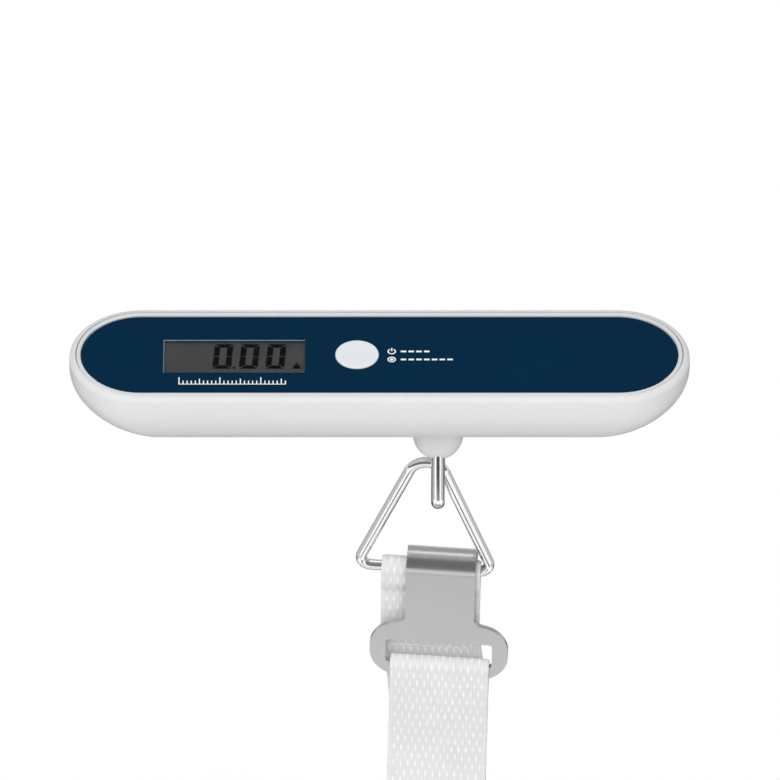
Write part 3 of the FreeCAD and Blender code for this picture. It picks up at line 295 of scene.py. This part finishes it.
materials = make_materials()
slot_of = {part["node"]: part["material_slot"] for part in frame["record"]["subparts"]}
for node, thing in frame["nodes"].items():
    for place in thing.material_slots:
        place.material = materials[slot_of[node]]


# ---------------------------------------------------------------- mesh helpers

def new_piece(name, mesh, finish, body=None):
    """An object of this mesh, in one of the record's slots or in an ink of its own."""
    thing = bpy.data.objects.new(name, mesh)
    bpy.context.scene.collection.objects.link(thing)
    mesh.materials.append(materials[finish])
    if body:
        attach(thing, body)
    return thing


def mesh_from(name, bm, smooth=True):
    bmesh.ops.recalc_face_normals(bm, faces=bm.faces)
    mesh = bpy.data.meshes.new(name)
    bm.to_mesh(mesh)
    bm.free()
    mesh.shade_smooth() if smooth else mesh.shade_flat()
    return mesh


def ring_frame():
    """From the ring's own axes, in millimetres from its bar, to the row frame in metres."""
    swing = joints["strap_swing"]
    along = Vector(swing["axis"]).normalized()
    outward = Vector((-along.y, along.x, 0)).normalized()
    up = along.cross(outward)
    turn = Matrix((along, outward, up)).transposed().to_4x4()
    return Matrix.Translation(Vector(swing["pos_m"])) @ turn @ Matrix.Scale(MM, 4)


RING = ring_frame()


class Route:
    """Straight runs with a tangent arc at each inner point, read by its length."""

    def __init__(self, points, bends):
        self.pieces, self.length = [], 0.0
        start = Vector(points[0])
        for before, corner, after, bend in zip(points, points[1:], points[2:], bends):
            corner = Vector(corner)
            u, v = (Vector(before) - corner).normalized(), (Vector(after) - corner).normalized()
            half = u.angle(v) / 2
            reach = bend / math.tan(half)
            centre = corner + (u + v).normalized() * (bend / math.sin(half))
            first, last = corner + u * reach, corner + v * reach
            self._run(start, first)
            self._arc(centre, first, last, math.pi - 2 * half, u)
            start = last
        self._run(start, Vector(points[-1]))

    def _run(self, a, b):
        length = (b - a).length
        if length > 1e-6:
            ahead = (b - a).normalized()
            self.pieces.append((self.length, length, lambda t: (a.lerp(b, t), ahead)))
            self.length += length

    def _arc(self, centre, first, last, turn, backward):
        spoke = first - centre
        radius = spoke.length
        heading = -backward
        side = 1 if spoke.x * heading.y - spoke.y * heading.x > 0 else -1

        def at(t):
            angle = turn * t * side
            cos, sin = math.cos(angle), math.sin(angle)
            here = Vector((spoke.x * cos - spoke.y * sin, spoke.x * sin + spoke.y * cos))
            ahead = Vector((-here.y, here.x)) * side / radius
            return centre + here, ahead

        self.pieces.append((self.length, turn * radius, at))
        self.length += turn * radius

    def at(self, s):
        """The point and the heading at a length along the route."""
        for start, length, place in self.pieces:
            if s <= start + length:
                return place((s - start) / length)
        return place(1.0)


# ---------------------------------------------------------------- the webbing

def across_steps():
    """Where the mesh's lines lie across the webbing, and which warp yarn each belongs to."""
    yarns = round((WEB_WIDTH - 2 * SELVAGE) / WARP_PITCH)
    pitch = (WEB_WIDTH - 2 * SELVAGE) / yarns
    half = WEB_WIDTH / 2
    steps = [(-half + inset, None) for inset in SELVAGE_LINES]
    for yarn in range(yarns):
        for i in range(WARP_STEPS):
            steps.append((-half + SELVAGE + pitch * (yarn + i / WARP_STEPS), yarn + i / WARP_STEPS))
    steps.append((half - SELVAGE, float(yarns)))
    steps += [(half - inset, None) for inset in reversed(SELVAGE_LINES)]
    return steps


def weave(yarn, pick, wobble):
    """How high the surface stands, from 0 to 1: each warp yarn rises over every other pick."""
    if yarn is None:
        return SELVAGE_HEIGHT + SELVAGE_RIPPLE * math.cos(2 * math.pi * pick)
    number = math.floor(yarn)
    across = 2 * (yarn - number) - 1
    crown = math.sqrt(max(0.0, 1 - across * across))
    crest = math.floor((pick + number + 1) / 2)
    height, shift = wobble[(number * 7 + crest * 11) % len(wobble)]     # neighbours get unlike entries
    rise = 0.5 + 0.5 * math.cos(math.pi * (pick + number + shift))
    return min(1.0, crown * (YARN_FLOOR + (1 - YARN_FLOOR) * height * rise ** CREST_SHARPNESS))


def edge_thickness(u):
    """The webbing thins towards its selvages."""
    inset = WEB_WIDTH / 2 - abs(u)
    if inset > EDGE_TAPER:
        return 1.0
    return EDGE_SHARE + (1 - EDGE_SHARE) * math.sin(math.pi / 2 * inset / EDGE_TAPER)


def webbing_mesh(name, route, starts_at, centre_of, wobble, sealed=(False, False)):
    """A woven strip along a route. starts_at is its place on the whole strip and wobble the unevenness of
    its crests, so that the weave runs on from piece to piece. sealed says which ends are cut with heat, and
    so thin. The ends' edges are sharp, so that the cut between two pieces doesn't show as a line."""
    steps = across_steps()
    rows = max(4, round(route.length / (WEFT_PITCH / WEFT_STEPS)))
    core = WEB_THICKNESS / 2 - WEB_RELIEF
    bm = bmesh.new()
    relief = bm.verts.layers.float.new("relief")
    strip = bm.verts.layers.float_vector.new("strip")
    faces = {1: [], -1: []}
    for row in range(rows + 1):
        s = route.length * row / rows
        point, ahead = route.at(s)
        normal = Vector((-ahead.y, ahead.x))
        centre = centre_of(s / route.length)
        end = min(s if sealed[0] else SEAL_LENGTH, route.length - s if sealed[1] else SEAL_LENGTH)
        seal = SEAL_SHARE + (1 - SEAL_SHARE) * min(1.0, end / SEAL_LENGTH)
        for side in (1, -1):
            line = []
            phase = 0 if side == 1 else 1
            for u, yarn in steps:
                high = weave(yarn, (starts_at + s) / WEFT_PITCH + phase, wobble)
                lift = (core + WEB_RELIEF * high) * edge_thickness(u) * seal
                place = point + normal * lift * side
                vert = bm.verts.new(RING @ Vector((centre + u, place.x, place.y)))
                # relief is the weave's height, which the webbing's material turns into painted shade where the
                # yarns dip.
                vert[relief] = high
                vert[strip] = (u, starts_at + s, side)
                line.append(vert)
            faces[side].append(line)
    for side in (1, -1):
        for a, b in zip(faces[side], faces[side][1:]):
            for i in range(len(steps) - 1):
                bm.faces.new((a[i], a[i + 1], b[i + 1], b[i]))
    for (a, b), (c, e) in zip(zip(faces[1], faces[-1]), zip(faces[1][1:], faces[-1][1:])):
        bm.faces.new((a[0], b[0], e[0], c[0]))
        bm.faces.new((a[-1], c[-1], e[-1], b[-1]))
    for row in (0, -1):
        top, low = faces[1][row], faces[-1][row]
        for i in range(len(steps) - 1):
            cap = bm.faces.new((top[i], low[i], low[i + 1], top[i + 1]))
            for edge in cap.edges:
                edge.smooth = False
    return mesh_from(name, bm)


def smooth_step(t):
    """From 0 to 1 with a level start and end."""
    t = max(0.0, min(1.0, t))
    return t * t * (3 - 2 * t)


def build_webbing():
    """The strip in three pieces: over the buckle's slot, round the loop's lower end, and up round the
    ring's bar."""
    front, loop, back = (Route(FRONT_ROUTE, FRONT_BENDS), Route(LOOP_ROUTE, LOOP_BENDS),
                         Route(BACK_ROUTE, BACK_BENDS))
    wobble = [(rng.uniform(0.6, 1.0), rng.uniform(-0.12, 0.12)) for _ in range(WOBBLE_COUNT)]

    def drift(t):
        return FRONT_WEB_X + (LOOP_BACK_X - FRONT_WEB_X) * smooth_step(t)

    def drift_up(t):
        return LOOP_BACK_X + (EYE_X - LOOP_BACK_X) * smooth_step((t - DRIFT_START) / DRIFT_SHARE)

    mesh = webbing_mesh("webbing_buckle_end", front, 0.0, lambda t: FRONT_WEB_X, wobble,
                        sealed=(True, False))
    buckle_end = new_piece("webbing_buckle_end", mesh, "webbing", "buckle")
    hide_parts("strap_front")

    mesh = webbing_mesh("webbing_loop_end", loop, front.length, drift, wobble)
    loop_end = new_piece("webbing_loop_end", mesh, "webbing")
    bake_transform(loop_end)

    whole = front.length + loop.length
    mesh = webbing_mesh("webbing_ring_end", back, whole, drift_up, wobble, sealed=(False, True))
    ring_end = new_piece("webbing_ring_end", mesh, "webbing", "strap")
    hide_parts("strap_back")


def add_capsule(bm, start, end, radius, sides=8, rings=3):
    """A short thread from start to end with round ends."""
    axis = end - start
    length = axis.length
    turn = axis.to_track_quat("Z", "Y").to_matrix().to_4x4()
    profile = []
    for i in range(rings + 1):
        angle = math.pi / 2 * i / rings
        profile.append((radius * math.sin(angle), radius * (1 - math.cos(angle))))
    profile += [(r, length - z) for r, z in reversed(profile)]
    lines = []
    for r, z in profile:
        line = []
        for j in range(sides):
            angle = 2 * math.pi * j / sides
            wide = max(r, radius * 0.05)
            local = Vector((wide * math.cos(angle), wide * math.sin(angle), z))
            line.append(bm.verts.new(start + turn @ local))
        lines.append(line)
    for a, b in zip(lines, lines[1:]):
        for j in range(sides):
            bm.faces.new((a[j], a[(j + 1) % sides], b[(j + 1) % sides], b[j]))
    bm.faces.new(reversed(lines[0]))
    bm.faces.new(lines[-1])


def build_stitches():
    """Threads that sew the strap's short end to its long one, on both faces."""
    surface = EYE_LAYER + WEB_THICKNESS / 2 - STITCH_SINK
    bm = bmesh.new()
    pitch = STITCH_LENGTH + STITCH_GAP
    count = int((WEB_WIDTH - 4 * SELVAGE) / pitch)
    for level in SEWN_ROWS:
        for i in range(count):
            x = EYE_X + pitch * (i - count / 2) + STITCH_GAP / 2
            for side in (-1, 1):
                z = level + rng.uniform(-STITCH_JITTER, STITCH_JITTER)
                start = Vector((x, side * surface, level))
                end = Vector((x + STITCH_LENGTH, side * surface, z))
                add_capsule(bm, start, end, STITCH_RADIUS)
    bm.transform(RING)
    # The threads take the ramp's palest place, with almost none of the webbing's painted shade.
    relief = bm.verts.layers.float.new("relief")
    for vert in bm.verts:
        vert[relief] = THREAD_TONE
    new_piece("strap_stitches", mesh_from("strap_stitches", bm), "webbing", "strap")


# ---------------------------------------------------------------- the display's digits and the panel's marks

def add_prism(bm, outline, low, high, origin):
    """A flat plate on an outline of (x, y), in millimetres from an origin in metres."""
    rings = []
    for z in (low, high):
        rings.append([bm.verts.new(origin + Vector((x, y, z)) * MM) for x, y in outline])
    bm.faces.new(rings[1])
    bm.faces.new(reversed(rings[0]))
    count = len(outline)
    for i in range(count):
        j = (i + 1) % count
        bm.faces.new((rings[0][i], rings[0][j], rings[1][j], rings[1][i]))


def bar(x0, y0, x1, y1):
    return [(x0, y0), (x1, y0), (x1, y1), (x0, y1)]


def digit_zero(x):
    """The six lit segments of a zero whose lower left corner is at x, 0, leaning to the right."""
    w, h, t, b, g = DIGIT_WIDTH, DIGIT_HEIGHT, DIGIT_STROKE, DIGIT_BAR, SEGMENT_GAP
    half = h / 2
    upright = [(0, b * 0.35 + g), (t, b + g), (t, half - g * 2.2), (t * 0.5, half - g * 0.9),
               (0, half - g * 2.2)]
    flat = [(g, 0), (w - g, 0), (w - t - g * 0.2, b), (t + g * 0.2, b)]
    segments = []
    for mirror_x in (False, True):
        for mirror_y in (False, True):
            segments.append([(w - px if mirror_x else px, h - py if mirror_y else py) for px, py in upright])
    segments.append(flat)
    segments.append([(px, h - py) for px, py in flat])
    return [[(x + px + py * DIGIT_SLANT, py) for px, py in segment] for segment in segments]


def build_digits():
    """The display reads 0.00, with a small weight beside it."""
    glass_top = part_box("lcd_glass")[1].z
    low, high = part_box("display_lens")
    origin = Vector((high.x, (low.y + high.y) / 2, glass_top))
    bm = bmesh.new()
    base = -DIGIT_HEIGHT / 2 + DIGITS_RISE
    outlines = []
    for i in range(DIGIT_COUNT):
        outlines += digit_zero(DIGITS_LEFT + DIGIT_PITCH * i)
    point_x, (point_width, point_height) = DIGITS_LEFT + POINT_OFFSET, POINT_SIZE
    outlines.append(bar(point_x, 0.0, point_x + point_width, point_height))
    weight_x = DIGITS_LEFT + DIGIT_COUNT * DIGIT_PITCH + 0.2
    outlines.append([(weight_x, 0), (weight_x + 2.0, 0), (weight_x + 1.6, 1.5), (weight_x + 0.4, 1.5)])
    outlines.append(bar(weight_x + 0.7, 1.7, weight_x + 1.3, 2.2))
    for outline in outlines:
        add_prism(bm, [(x, y + base) for x, y in outline], 0.0, INK_THICKNESS, origin)
    new_piece("display_digits", mesh_from("display_digits", bm, smooth=False), "display_ink", "handle")


def build_window_edge():
    """The panel window's polished edge on three sides of the lens, as a thin strip: its pale line is a painted
    highlight on the real chamfer.
    """
    low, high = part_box("display_lens")
    width, drop, lift = 0.28 * MM, 0.16 * MM, 0.2 * MM
    bm = bmesh.new()
    corners = [(high.x, low.y), (low.x, low.y), (low.x, high.y), (high.x, high.y)]
    inward = [(0, 1), (1, 1), (1, -1), (0, -1)]
    sections = []
    for (x, y), (i, j) in zip(corners, inward):
        sections.append([bm.verts.new((x, y, high.z + lift)),
                         bm.verts.new((x + i * width, y + j * width, high.z + lift - drop)),
                         bm.verts.new((x, y, high.z + 0.02 * MM))])
    for here, there in zip(sections, sections[1:]):
        for i in range(3):
            j = (i + 1) % 3
            bm.faces.new((here[i], there[i], there[j], here[j]))
    bm.faces.new(sections[0])
    bm.faces.new(reversed(sections[-1]))
    new_piece("window_edge", mesh_from("window_edge", bm, smooth=False), "window_edge_highlight", "handle")


def add_ring_mark(bm, origin, x, y, radius, stroke, start, turn):
    """An open or closed ring drawn on the panel."""
    steps = 28
    outline = []
    for edge, order in ((radius, range(steps + 1)), (radius - stroke, range(steps, -1, -1))):
        for i in order:
            angle = math.radians(start + turn * i / steps)
            outline.append((x + edge * math.cos(angle), y + edge * math.sin(angle)))
    add_prism(bm, outline, 0.0, INK_THICKNESS, origin)


def build_panel_marks():
    """White printed marks: graduations under the display, and a power and a hold mark by the button, each
    with a row of dashes."""
    low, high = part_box("face_panel")
    origin = Vector(((low.x + high.x) / 2, (low.y + high.y) / 2, high.z))
    bm = bmesh.new()

    def stamp(x0, y0, x1, y1):
        add_prism(bm, bar(x0, y0, x1, y1), 0.0, INK_THICKNESS, origin)

    for i in range(TICK_COUNT):
        tall = 2.5 if i % 10 == 0 else 1.9 if i % 5 == 0 else 1.2
        x = TICK_LEFT + TICK_PITCH * i
        stamp(x - TICK_HALF_WIDTH, TICK_FOOT, x + TICK_HALF_WIDTH, TICK_FOOT + tall)
    stamp(TICK_LEFT - TICK_HALF_WIDTH, TICK_FOOT - RULER_THICKNESS,
          TICK_LEFT + TICK_PITCH * (TICK_COUNT - 1) + TICK_HALF_WIDTH, TICK_FOOT)
    row_high, row_low = MARK_ROWS
    add_ring_mark(bm, origin, MARK_X, row_high, MARK_RADIUS, MARK_STROKE, 120, 300)
    stamp(MARK_X - 0.16, row_high + 0.1, MARK_X + 0.16, row_high + 1.3)
    add_ring_mark(bm, origin, MARK_X, row_low, MARK_RADIUS, MARK_STROKE, 0, 359.9)
    add_ring_mark(bm, origin, MARK_X, row_low, 0.45, 0.44, 0, 359.9)
    for row, dashes in zip(MARK_ROWS, DASH_COUNTS):
        for i in range(dashes):
            x = MARK_X + DASH_FIRST + i * DASH_PITCH
            stamp(x, row - DASH_HALF_HEIGHT, x + DASH_LENGTH, row + DASH_HALF_HEIGHT)
    new_piece("panel_marks", mesh_from("panel_marks", bm, smooth=False), "panel_ink", "handle")


materials["display_ink"] = material("digit_black", (0.002, 0.002, 0.002), 0.6, spread=0.2, patch=300.0,
                                    Specular_IOR_Level=0.0)
# The window edge's pale blue is a painted highlight along the chamfer, not the navy acrylic's own colour.
materials["window_edge_highlight"] = material("window_edge_painted_highlight", (0.11, 0.17, 0.22), 0.25, spread=0.15, patch=200.0)
materials["panel_ink"] = material("ink_white", (0.82, 0.88, 0.9), 0.5, spread=0.03, patch=300.0)


# ---------------------------------------------------------------- floor, light and camera

def build_floor():
    """A plain pale floor, well below the hanging loop."""
    bm = bmesh.new()
    bmesh.ops.create_circle(bm, cap_ends=True, radius=FLOOR_RADIUS, segments=96)
    mesh = mesh_from("floor", bm, smooth=False)
    thing = bpy.data.objects.new("floor", mesh)
    bpy.context.scene.collection.objects.link(thing)
    thing.location.z = cad_box[0].z - FLOOR_DROP
    mesh.materials.append(material("floor_pale", (0.965, 0.965, 0.965), 0.8, spread=0.006, patch=3.0,
                                   grain=60.0))


def sun(name, azimuth, elevation, spread, power):
    """A wide soft light from one side of the sky, which glossy surfaces don't mirror. Azimuth 0 is behind
    the reader, and angles are in degrees."""
    light = bpy.data.lights.new(name, "SUN")
    light.angle, light.energy = math.radians(spread), power
    thing = bpy.data.objects.new(name, light)
    bpy.context.scene.collection.objects.link(thing)
    a, e = math.radians(azimuth), math.radians(elevation)
    toward = Vector((math.sin(a) * math.cos(e), -math.cos(a) * math.cos(e), math.sin(e)))
    thing.rotation_euler = toward.to_track_quat("Z", "Y").to_euler()
    thing.visible_glossy = False


def flag(name, outline_of, place, size, grey, glow=0.0):
    """A card or a lamp that only glossy surfaces mirror, as those beside a studio table."""
    bm = bmesh.new()
    outline_of(bm)
    mesh = mesh_from(name, bm, smooth=False)
    thing = bpy.data.objects.new(name, mesh)
    bpy.context.scene.collection.objects.link(thing)
    thing.location, thing.scale = place, (*size, 1)
    mesh.materials.append(material(name, (grey, grey, grey), 0.9, Emission_Color=(1, 1, 1, 1),
                                   Emission_Strength=glow))
    thing.visible_camera = thing.visible_diffuse = thing.visible_shadow = False
    thing.visible_transmission = thing.visible_volume_scatter = False


def curved_card(bm):
    """A low card that curves round the front of the object."""
    steps, half_turn = 24, math.radians(CARD_HALF_TURN)
    rings = []
    for radius in CARD_RADII:
        turns = [half_turn * (2 * i / steps - 1) for i in range(steps + 1)]
        rings.append([bm.verts.new((radius * math.sin(turn), -radius * math.cos(turn), 0)) for turn in turns])
    for near, far in zip(zip(*rings), list(zip(*rings))[1:]):
        bm.faces.new((near[0], near[1], far[1], far[0]))


def square_card(bm):
    bmesh.ops.create_grid(bm, x_segments=1, y_segments=1, size=1.0)


def build_light():
    """A soft studio: two wide suns in a pale room. To glossy surfaces and to the light the room is darker
    above and brighter behind, and to the camera it is one even pale grey. The cards and the lamp give the
    metal its grey bands."""
    world = bpy.data.worlds.new("studio")
    bpy.context.scene.world = world
    world.use_nodes = True
    tree = world.node_tree
    background = tree.nodes["Background"]
    direction = tree.nodes.new("ShaderNodeTexCoord").outputs["Generated"]
    split = add(tree, "SeparateXYZ", Vector=direction)
    height = add(tree, "MapRange", Value=split.outputs["Z"])
    height.inputs["From Min"].default_value = -1.0
    sky = ramp(tree, height.outputs["Result"], [(0.0, 0.9), (0.47, 0.7), (0.52, 0.2), (1.0, 0.2)])
    depth = add(tree, "MapRange", Value=split.outputs["Y"])
    depth.inputs["From Min"].default_value = -1.0
    behind = ramp(tree, depth.outputs["Result"], [(0.5, 0.0), (0.6, 0.25)])
    both = tree.nodes.new("ShaderNodeMix")
    both.data_type, both.blend_type = "RGBA", "ADD"
    both.inputs["Factor"].default_value = 1.0
    link(tree, sky, both.inputs["A"])
    link(tree, behind, both.inputs["B"])
    ray = tree.nodes.new("ShaderNodeLightPath")
    seen = tree.nodes.new("ShaderNodeMix")
    seen.data_type = "RGBA"
    link(tree, ray.outputs["Is Camera Ray"], seen.inputs["Factor"])
    link(tree, both.outputs["Result"], seen.inputs["A"])
    seen.inputs["B"].default_value = (0.96, 0.96, 0.96, 1)
    link(tree, seen.outputs["Result"], background.inputs["Color"])
    background.inputs["Strength"].default_value = 1.0
    sun("key", -18, 55, 50, 2.6)
    sun("fill", 25, 35, 60, 0.55)
    floor_level = cad_box[0].z - FLOOR_DROP
    flag("front_card", curved_card, (0.0, 0.0, floor_level + 0.02), (1.0, 1.0), 0.02)
    flag("back_card", square_card, (0.0, 0.5, floor_level + 0.03), (0.55, 0.47), 0.12)
    for name, x in (("left_card", -3.4), ("right_card", 3.4)):
        flag(name, square_card, (x, 0.45, floor_level + 0.02), (3.0, 0.95), 0.5)
    flag("table_card", square_card, (0.0, -0.01, floor_level + 0.04), (0.19, 0.16), 0.42)
    flag("top_lamp", square_card, (0.0, 0.6, 1.2), (0.9, 0.08), 0.9, glow=2.0)


def build_camera():
    low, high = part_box("face_panel")
    centre = Vector(((low.x + high.x) / 2, (low.y + high.y) / 2, high.z))
    aim = centre + CAMERA_AIM * MM
    tilt = math.radians(CAMERA_ELEVATION)
    back = Vector((0, -math.cos(tilt), math.sin(tilt)))
    camera = bpy.data.cameras.new("camera")
    camera.lens = CAMERA_LENS
    camera.clip_start, camera.clip_end = 0.05, 50
    thing = bpy.data.objects.new("camera", camera)
    bpy.context.scene.collection.objects.link(thing)
    thing.location = aim + back * CAMERA_DISTANCE * MM
    thing.rotation_euler = (-back).to_track_quat("-Z", "Y").to_euler()
    bpy.context.scene.camera = thing


def soften_edges():
    """The pressed buckle's edges are slightly rounded."""
    bevel = frame["nodes"]["plate_buckle"].modifiers.new("worn_edges", "BEVEL")
    bevel.width, bevel.segments = 0.2 * MM, 2
    bevel.limit_method, bevel.angle_limit = "ANGLE", math.radians(40)


build_camera()
soften_edges()
build_webbing()
build_stitches()
build_digits()
build_window_edge()
build_panel_marks()
build_floor()
build_light()
bpy.context.scene.view_settings.view_transform = "Standard"
